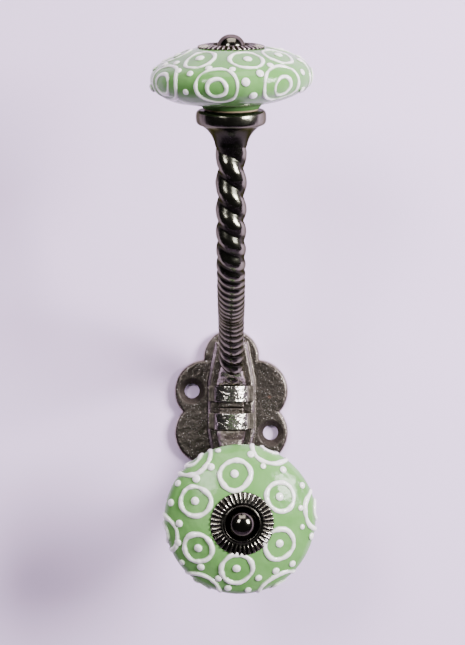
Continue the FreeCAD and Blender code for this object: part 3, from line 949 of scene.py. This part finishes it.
def make_bolt(place):
    """Ball head on the rosette, with a narrow waist under it and a threaded shank."""
    edge = 0.35
    corners = [
        (0.0, HEAD_BASE),
        (3.45, HEAD_BASE, -edge),
        (HEAD_RADIUS, HEAD_BASE + edge, -3.42),
        (0.0, HEAD_BASE + HEAD_RADIUS),
    ]
    ball = outline(corners, 0.14)
    ball[-1] = (0.0, ball[-1][1])
    whole = joined(place + "_bolt_parts", [lathe("head", ball, 96), thread_mesh("shank")])
    co = np.zeros(len(whole.vertices) * 3)
    whole.vertices.foreach_get("co", co)
    height = co.reshape(-1, 3)[:, 2] / MM
    add_values(whole, "crest", np.clip((height - HEAD_BASE) / HEAD_RADIUS, 0, 1) * 0.7)
    bolt = CAST_SKIN.grow(
        place + "_bolt_ball", whole, "black_nickel_bolt",
        Lump_size=2.5 * MM, Lump_height=0.03 * MM, Grain_size=0.6 * MM, Grain_height=0.004 * MM, Seed=6.0,
    )
    bolt.data.transform(SEATS[place])
    finished(bolt, place + "_knob_set", "black_nickel_bolt", place + "_bolt")


# ---------------------------------------------------------------- arms

SEAT_THICK = 3.8
FLARE_LONG = 5.0
SEAT_OUTLINE = [
    (2.05, 0.0),
    (7.75, 0.0, 1.1),
    (8.78, -1.0, 6.0),
    (8.78, -2.75, 1.1),
    (7.95, -3.72),
    (7.6, -3.85, -7.0),
    (4.05, -8.9),
    (3.1, -11.4),
    (2.6, -13.2),
    (2.05, -13.2),
    (2.05, 0.0),
]
# each arm: start out from the wall and up, angles from straight out, bend radii, straight end, yaw
ARM_LINES = {
    "upper": (8.2, 11.1, (48.0, 12.0, 75.0), (58.0, 32.0), 28.3, 0.0),
    "lower": (8.6, -9.0, (-66.5, -2.5), (26.6,), 7.9, 3.5),
}
LINE_STEP = 0.24
# lead of the twist, half the distance between the strands' middles, and the strands' radius,
# against the distance along the arm: the smith's twist tightens in the middle of the tall arm
TWIST = {
    "upper": {
        "at": (0, 9, 14, 34, 43, 56, 61, 70, 80, 93, 101),
        "lead": (9.4, 9.0, 7.6, 7.4, 4.5, 4.5, 8.6, 10.8, 14.2, 15.3, 15.3),
        "apart": (0.60, 0.60, 0.45, 0.36, 0.30, 0.30, 0.50, 0.70, 0.86, 0.86, 0.2),
        "strand": (3.05, 3.05, 3.15, 3.25, 3.35, 3.42, 3.34, 3.24, 3.12, 3.1, 3.2),
    },
    "lower": {
        "at": (0, 8, 22, 34),
        "lead": (8.0, 7.4, 7.6, 8.0),
        "apart": (0.55, 0.5, 0.5, 0.15),
        "strand": (2.4, 3.2, 3.25, 3.3),
    },
}
TWIST_PHASE = {"upper": 110.0, "lower": 60.0}
BAR_SIDES = 72


def arm_line(start_out, start_up, angles, bends, straight, yaw):
    """Points on an arm's middle line, in millimetres, as tangent arcs and a last straight run."""
    outward = Vector((math.sin(math.radians(yaw)), -math.cos(math.radians(yaw)), 0))
    at = Vector((0, -start_out, start_up))
    points = [at.copy()]
    angle = math.radians(angles[0])
    for after, radius in zip(angles[1:], bends):
        target = math.radians(after)
        side = 1 if target > angle else -1
        centre = at + (UP * math.cos(angle) - outward * math.sin(angle)) * radius * side
        runs = math.ceil(abs(target - angle) * radius / LINE_STEP)
        for n in range(1, runs + 1):
            here = angle + (target - angle) * n / runs
            points.append(centre - (UP * math.cos(here) - outward * math.sin(here)) * radius * side)
        at, angle = points[-1], target
    along = outward * math.cos(angle) + UP * math.sin(angle)
    run = straight - SEAT_THICK - FLARE_LONG + 1.6
    runs = math.ceil(run / LINE_STEP)
    points += [at + along * run * n / runs for n in range(1, runs + 1)]
    return np.array([tuple(p) for p in points])


def make_bar(place):
    points = arm_line(*ARM_LINES[place])
    gone = np.concatenate([[0], np.cumsum(np.linalg.norm(np.diff(points, axis=0), axis=1))])
    twist = TWIST[place]
    lead = np.interp(gone, twist["at"], twist["lead"])
    turn = np.concatenate([[0], np.cumsum(np.diff(gone) * 2 * math.pi / lead[1:])])
    count = len(points)
    mesh = mesh_from(place + "_middle_line", points * MM, [], [(n, n + 1) for n in range(count - 1)])
    add_values(mesh, "turn", math.radians(TWIST_PHASE[place]) - turn)
    add_values(mesh, "apart", np.interp(gone, twist["at"], twist["apart"]) * MM)
    add_values(mesh, "strand", np.interp(gone, twist["at"], twist["strand"]) * MM)
    bar = TWISTED_BAR.grow(
        place + "_arm_bar", mesh, "black_nickel_cast",
        Sides=BAR_SIDES, Skin_size=1.6 * MM, Skin_height=0.30 * MM, Seed={"upper": 1.0, "lower": 5.0}[place],
    )
    finished(bar, "hook", "black_nickel_cast", place + "_arm")


def make_seat(place):
    """Round seat with a trumpet flare and the bolt's bore."""
    mesh = lathe(place + "_seat_body", outline(SEAT_OUTLINE, 0.22)[:-1], 144, closed=True)
    co = np.zeros(len(mesh.vertices) * 3)
    mesh.vertices.foreach_get("co", co)
    co = co.reshape(-1, 3)
    add_values(mesh, "crest", np.clip((np.hypot(co[:, 0], co[:, 1]) / MM - 4.0) / 5.0, 0, 1) * 0.8)
    seat = CAST_SKIN.grow(
        place + "_arm_seat", mesh, "black_nickel_cast",
        Lump_size=3.2 * MM, Lump_height=0.14 * MM, Grain_size=0.9 * MM, Grain_height=0.03 * MM,
        Seed={"upper": 2.0, "lower": 6.0}[place],
    )
    seat.data.transform(SEATS[place])
    finished(seat, "hook", "black_nickel_cast", place + "_arm")


# ---------------------------------------------------------------- roots, collars and plate

PLATE_THICK = 3.0
RIDGE_FACE = 5.0
ROOT_UP = 1.55
TONGUE = {"wide": 7.2, "thick": 3.0, "long": 6.6}
SHOULDER = {"wide": 8.5, "thick": 4.7, "tall": 5.4, "neck": 6.4, "neck_thick": 8.8}
ROOT_SIDES = 64


def squircle(half_wide, half_thick, squareness):
    """Points round a rounded rectangle that is an ellipse at squareness 2."""
    points = []
    for n in range(ROOT_SIDES):
        turn = 2 * math.pi * n / ROOT_SIDES
        c, s = math.cos(turn), math.sin(turn)
        x = half_wide * math.copysign(abs(c) ** (2 / squareness), c)
        y = half_thick * math.copysign(abs(s) ** (2 / squareness), s)
        points.append((x, y))
    return points


def make_root(place):
    """Tongue on the ridge and the tapered shoulder that becomes the bar."""
    side = 1 if place == "upper" else -1
    stages = [
        (0.08, TONGUE["wide"], TONGUE["thick"], 9.0),
        (0.30, TONGUE["wide"] + 0.1, TONGUE["thick"] + 0.05, 9.0),
        (TONGUE["long"] - 0.1, TONGUE["wide"] + 0.1, TONGUE["thick"] + 0.05, 9.0),
        (TONGUE["long"], SHOULDER["wide"], SHOULDER["thick"] - 0.4, 8.0),
        (TONGUE["long"] + 0.5, SHOULDER["wide"], SHOULDER["thick"], 7.0),
        (TONGUE["long"] + 0.45 * SHOULDER["tall"], 7.8, 7.3, 4.0),
        (TONGUE["long"] + SHOULDER["tall"], SHOULDER["neck"], SHOULDER["neck_thick"], 2.6),
    ]
    at, wide, thick, square = (np.array(column) for column in zip(*stages))
    rings = []
    for height in np.linspace(at[0], at[-1], 48):
        w, t, q = (np.interp(height, at, column) for column in (wide, thick, square))
        up = ROOT_UP + side * height
        rings.append([(x, -RIDGE_FACE - t / 2 + 0.06 + y, up) for x, y in squircle(w / 2, t / 2, q)])
    skin = remeshed(place + "_root", tube_of(place + "_root_body", rings), 0.17)
    co = np.zeros(len(skin.vertices) * 3)
    skin.vertices.foreach_get("co", co)
    co = co.reshape(-1, 3) / MM
    add_values(skin, "crest", np.clip((-co[:, 1] - 7.4) / 1.0, 0, 1) * (0.62 + 0.12 * side))
    root = CAST_SKIN.grow(
        place + "_arm_root", skin, "rough_cast_plate",
        Lump_size=1.3 * MM, Lump_height=0.46 * MM, Grain_size=0.45 * MM, Grain_height=0.16 * MM,
        Seed=3.0 + side,
    )
    finished(root, "hook", "rough_cast_plate", place + "_arm")


COLLAR_CROWN = 7.0


def make_collar(place):
    """Bridge over a tongue: a convex band between two flat flanges, rubbed bright on its crown."""
    low, high = (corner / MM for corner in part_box(place + "_collar"))
    tongue = TONGUE["wide"] / 2 + 0.1
    section = outline(
        [
            (-6.6, 5.0), (-6.6, 6.2), (-5.0, 6.2), (-5.0, 7.6, COLLAR_CROWN), (5.0, 7.6), (5.0, 6.2),
            (6.6, 6.2), (6.6, 5.0), (tongue, 5.0), (tongue, 8.0), (-tongue, 8.0), (-tongue, 5.0), (-6.6, 5.0),
        ],
        0.4,
    )[:-1]
    rings = [[(x, -out, z) for x, out in section] for z in np.linspace(low.z, high.z, 8)]
    count = len(section)
    verts = [Vector(p) * MM for ring in rings for p in ring]
    faces = []
    for row in range(len(rings) - 1):
        here, there = row * count, (row + 1) * count
        for n in range(count):
            after = (n + 1) % count
            faces.append((here + n, here + after, there + after, there + n))
    faces.append(tuple(range(count)))
    faces.append(tuple(range((len(rings) - 1) * count, len(rings) * count)))
    mesh = mesh_from(place + "_collar_body", verts, faces)
    point_outwards(mesh)
    skin = remeshed(place + "_collar", mesh, 0.11)
    co = np.zeros(len(skin.vertices) * 3)
    skin.vertices.foreach_get("co", co)
    co = co.reshape(-1, 3) / MM
    add_values(skin, "crest", np.clip((-co[:, 1] - 7.3) / 0.9, 0, 1))
    collar = CAST_SKIN.grow(
        place + "_collar_band", skin, "polished_collar",
        Lump_size=1.1 * MM, Lump_height=0.20 * MM, Grain_size=0.4 * MM, Grain_height=0.04 * MM,
        Seed={"upper": 12.0, "lower": 17.0}[place],
    )
    finished(collar, "hook", "polished_collar", place + "_collar")


SCREW_PLACES = ((-11.6, 6.15), (11.6, -6.15))


def make_plate():
    """The plate's own shape with an even skin, rolled bright rim, dark wells and cast lumps."""
    copy = frame["nodes"]["back_plate"].data.copy()
    shell = bmesh.new()
    shell.from_mesh(copy)
    bmesh.ops.remove_doubles(shell, verts=shell.verts, dist=0.001 * MM)
    shell.to_mesh(copy)
    shell.free()
    skin = remeshed("plate", copy, 0.21)
    count = len(skin.vertices)
    co, normal = np.zeros(count * 3), np.zeros(count * 3)
    skin.vertices.foreach_get("co", co)
    skin.vertices.foreach_get("normal", normal)
    co, normal = co.reshape(-1, 3) / MM, normal.reshape(-1, 3)
    slant = 1 - np.abs(normal[:, 1])
    well = np.zeros(count)
    for x, z in SCREW_PLACES:
        away = np.hypot(co[:, 0] - x, co[:, 2] - z)
        well = np.maximum(well, np.clip((4.1 - away) / 0.35, 0, 1))
    front = co[:, 1] < -0.4
    rub = np.where(front, np.clip(slant * 2.2, 0, 1) * 0.75, 0.1) * (1 - well)
    raised = np.clip((-co[:, 1] - PLATE_THICK - 0.2) / 1.2, 0, 1)
    add_values(skin, "crest", np.clip(rub + 0.15 * raised, 0, 1))
    add_values(skin, "well", well)
    plate = CAST_SKIN.grow(
        "plate_casting", skin, "rough_cast_plate",
        Lump_size=2.4 * MM, Lump_height=0.20 * MM, Grain_size=0.6 * MM, Grain_height=0.06 * MM, Seed=9.0,
    )
    finished(plate, "hook", "rough_cast_plate", "back_plate")


# ---------------------------------------------------------------- stage, light and camera


def wall_finish():
    """Pale painted wall that is clear from behind, so the back of the hook can be seen."""
    finish = Finish("pale_wall")
    grain = finish.noise(finish.place, 18.0, 4.0)
    body = finish.blend(grain, rgb(0.79, 0.605, 0.93), rgb(0.825, 0.64, 0.965))
    finish.set(Base_Color=body, Roughness=0.9)
    behind = finish.node("ShaderNodeNewGeometry")["Backfacing"]
    clear = finish.node("ShaderNodeBsdfTransparent")
    painted = Wire(finish, finish.shader.outputs["BSDF"])
    mixed = finish.node("ShaderNodeMixShader", None, {"Fac": behind, "Shader": painted, "Shader_001": clear})
    output = finish.tree.nodes["Material Output"]
    finish.feed(output.inputs["Surface"], mixed)
    return finish.material


def make_stage():
    """Wall behind the plate that curves out into a floor well below the hook."""
    half_wide, top, bend, floor, front = 2.0, 1.6, 0.25, -1.8, -0.9
    line = [(0.0002, top), (0.0002, floor + bend)]
    for n in range(1, 17):
        turn = math.pi / 2 * n / 16
        line.append((0.0002 - bend * (1 - math.cos(turn)), floor + bend * (1 - math.sin(turn))))
    line.append((front, floor))
    points = [(x, y, z) for y, z in line for x in (half_wide, -half_wide)]
    faces = [(2 * n, 2 * n + 1, 2 * n + 3, 2 * n + 2) for n in range(len(line) - 1)]
    sheet = new_object("wall_and_floor", mesh_from("wall_and_floor", points, faces))
    sheet.data.materials.append(wall_finish())
    for face in sheet.data.polygons:
        face.use_smooth = True


AIM = Vector((0.0, -0.03, 0.026))


def soft_box(name, azimuth, elevation, away, wide, tall, power, colour):
    """Area light that faces the hook from an azimuth to the right of straight out."""
    a, e = math.radians(azimuth), math.radians(elevation)
    way = Vector((math.sin(a) * math.cos(e), -math.cos(a) * math.cos(e), math.sin(e)))
    data = bpy.data.lights.new(name, "AREA")
    data.shape = "RECTANGLE"
    data.size, data.size_y = wide, tall
    data.energy = power
    data.color = colour
    lamp = bpy.data.objects.new(name, data)
    lamp.location = AIM + way * away
    lamp.rotation_mode = "QUATERNION"
    lamp.rotation_quaternion = way.to_track_quat("Z", "Y")
    bpy.context.scene.collection.objects.link(lamp)


def make_light():
    soft_box("key_box", 50, 13, 0.62, 0.23, 0.27, 11.8, (1.0, 0.975, 0.985))
    soft_box("fill_box", -25, 21, 0.80, 0.20, 0.26, 3.9, (1.0, 0.97, 0.99))
    soft_box("top_box", 6, 64, 0.75, 0.62, 0.50, 5.4, (1.0, 0.92, 0.92))
    world = bpy.data.worlds.new("studio")
    world.use_nodes = True
    world.node_tree.nodes["Background"].inputs["Color"].default_value = rgb(0.86, 0.84, 0.90)
    world.node_tree.nodes["Background"].inputs["Strength"].default_value = 0.03
    bpy.context.scene.world = world


CAMERA_AT = (0.00035, -0.450, 0.0263)
CAMERA_LENS = 84.9


def make_camera():
    data = bpy.data.cameras.new("camera")
    data.sensor_fit = "VERTICAL"
    data.sensor_height = 36.0
    data.lens = CAMERA_LENS
    data.clip_start = 0.01
    camera = bpy.data.objects.new("camera", data)
    camera.location = CAMERA_AT
    camera.rotation_euler = (math.pi / 2, 0, 0)
    bpy.context.scene.collection.objects.link(camera)
    bpy.context.scene.camera = camera


# ---------------------------------------------------------------- the hook

make_stage()
make_light()
make_camera()
make_plate()
for place in ("upper", "lower"):
    make_bar(place)
    make_seat(place)
    make_root(place)
    make_collar(place)
    make_knob(place)
    make_rosette(place)
    make_bolt(place)
for node, finish in (
    ("arm_rivets", "rivet_steel"),
    ("upper_seat_washer", "washer_paper"),
    ("lower_seat_washer", "washer_paper"),
):
    carried = frame["nodes"][node]
    carried.material_slots[0].material = FINISHES[finish]
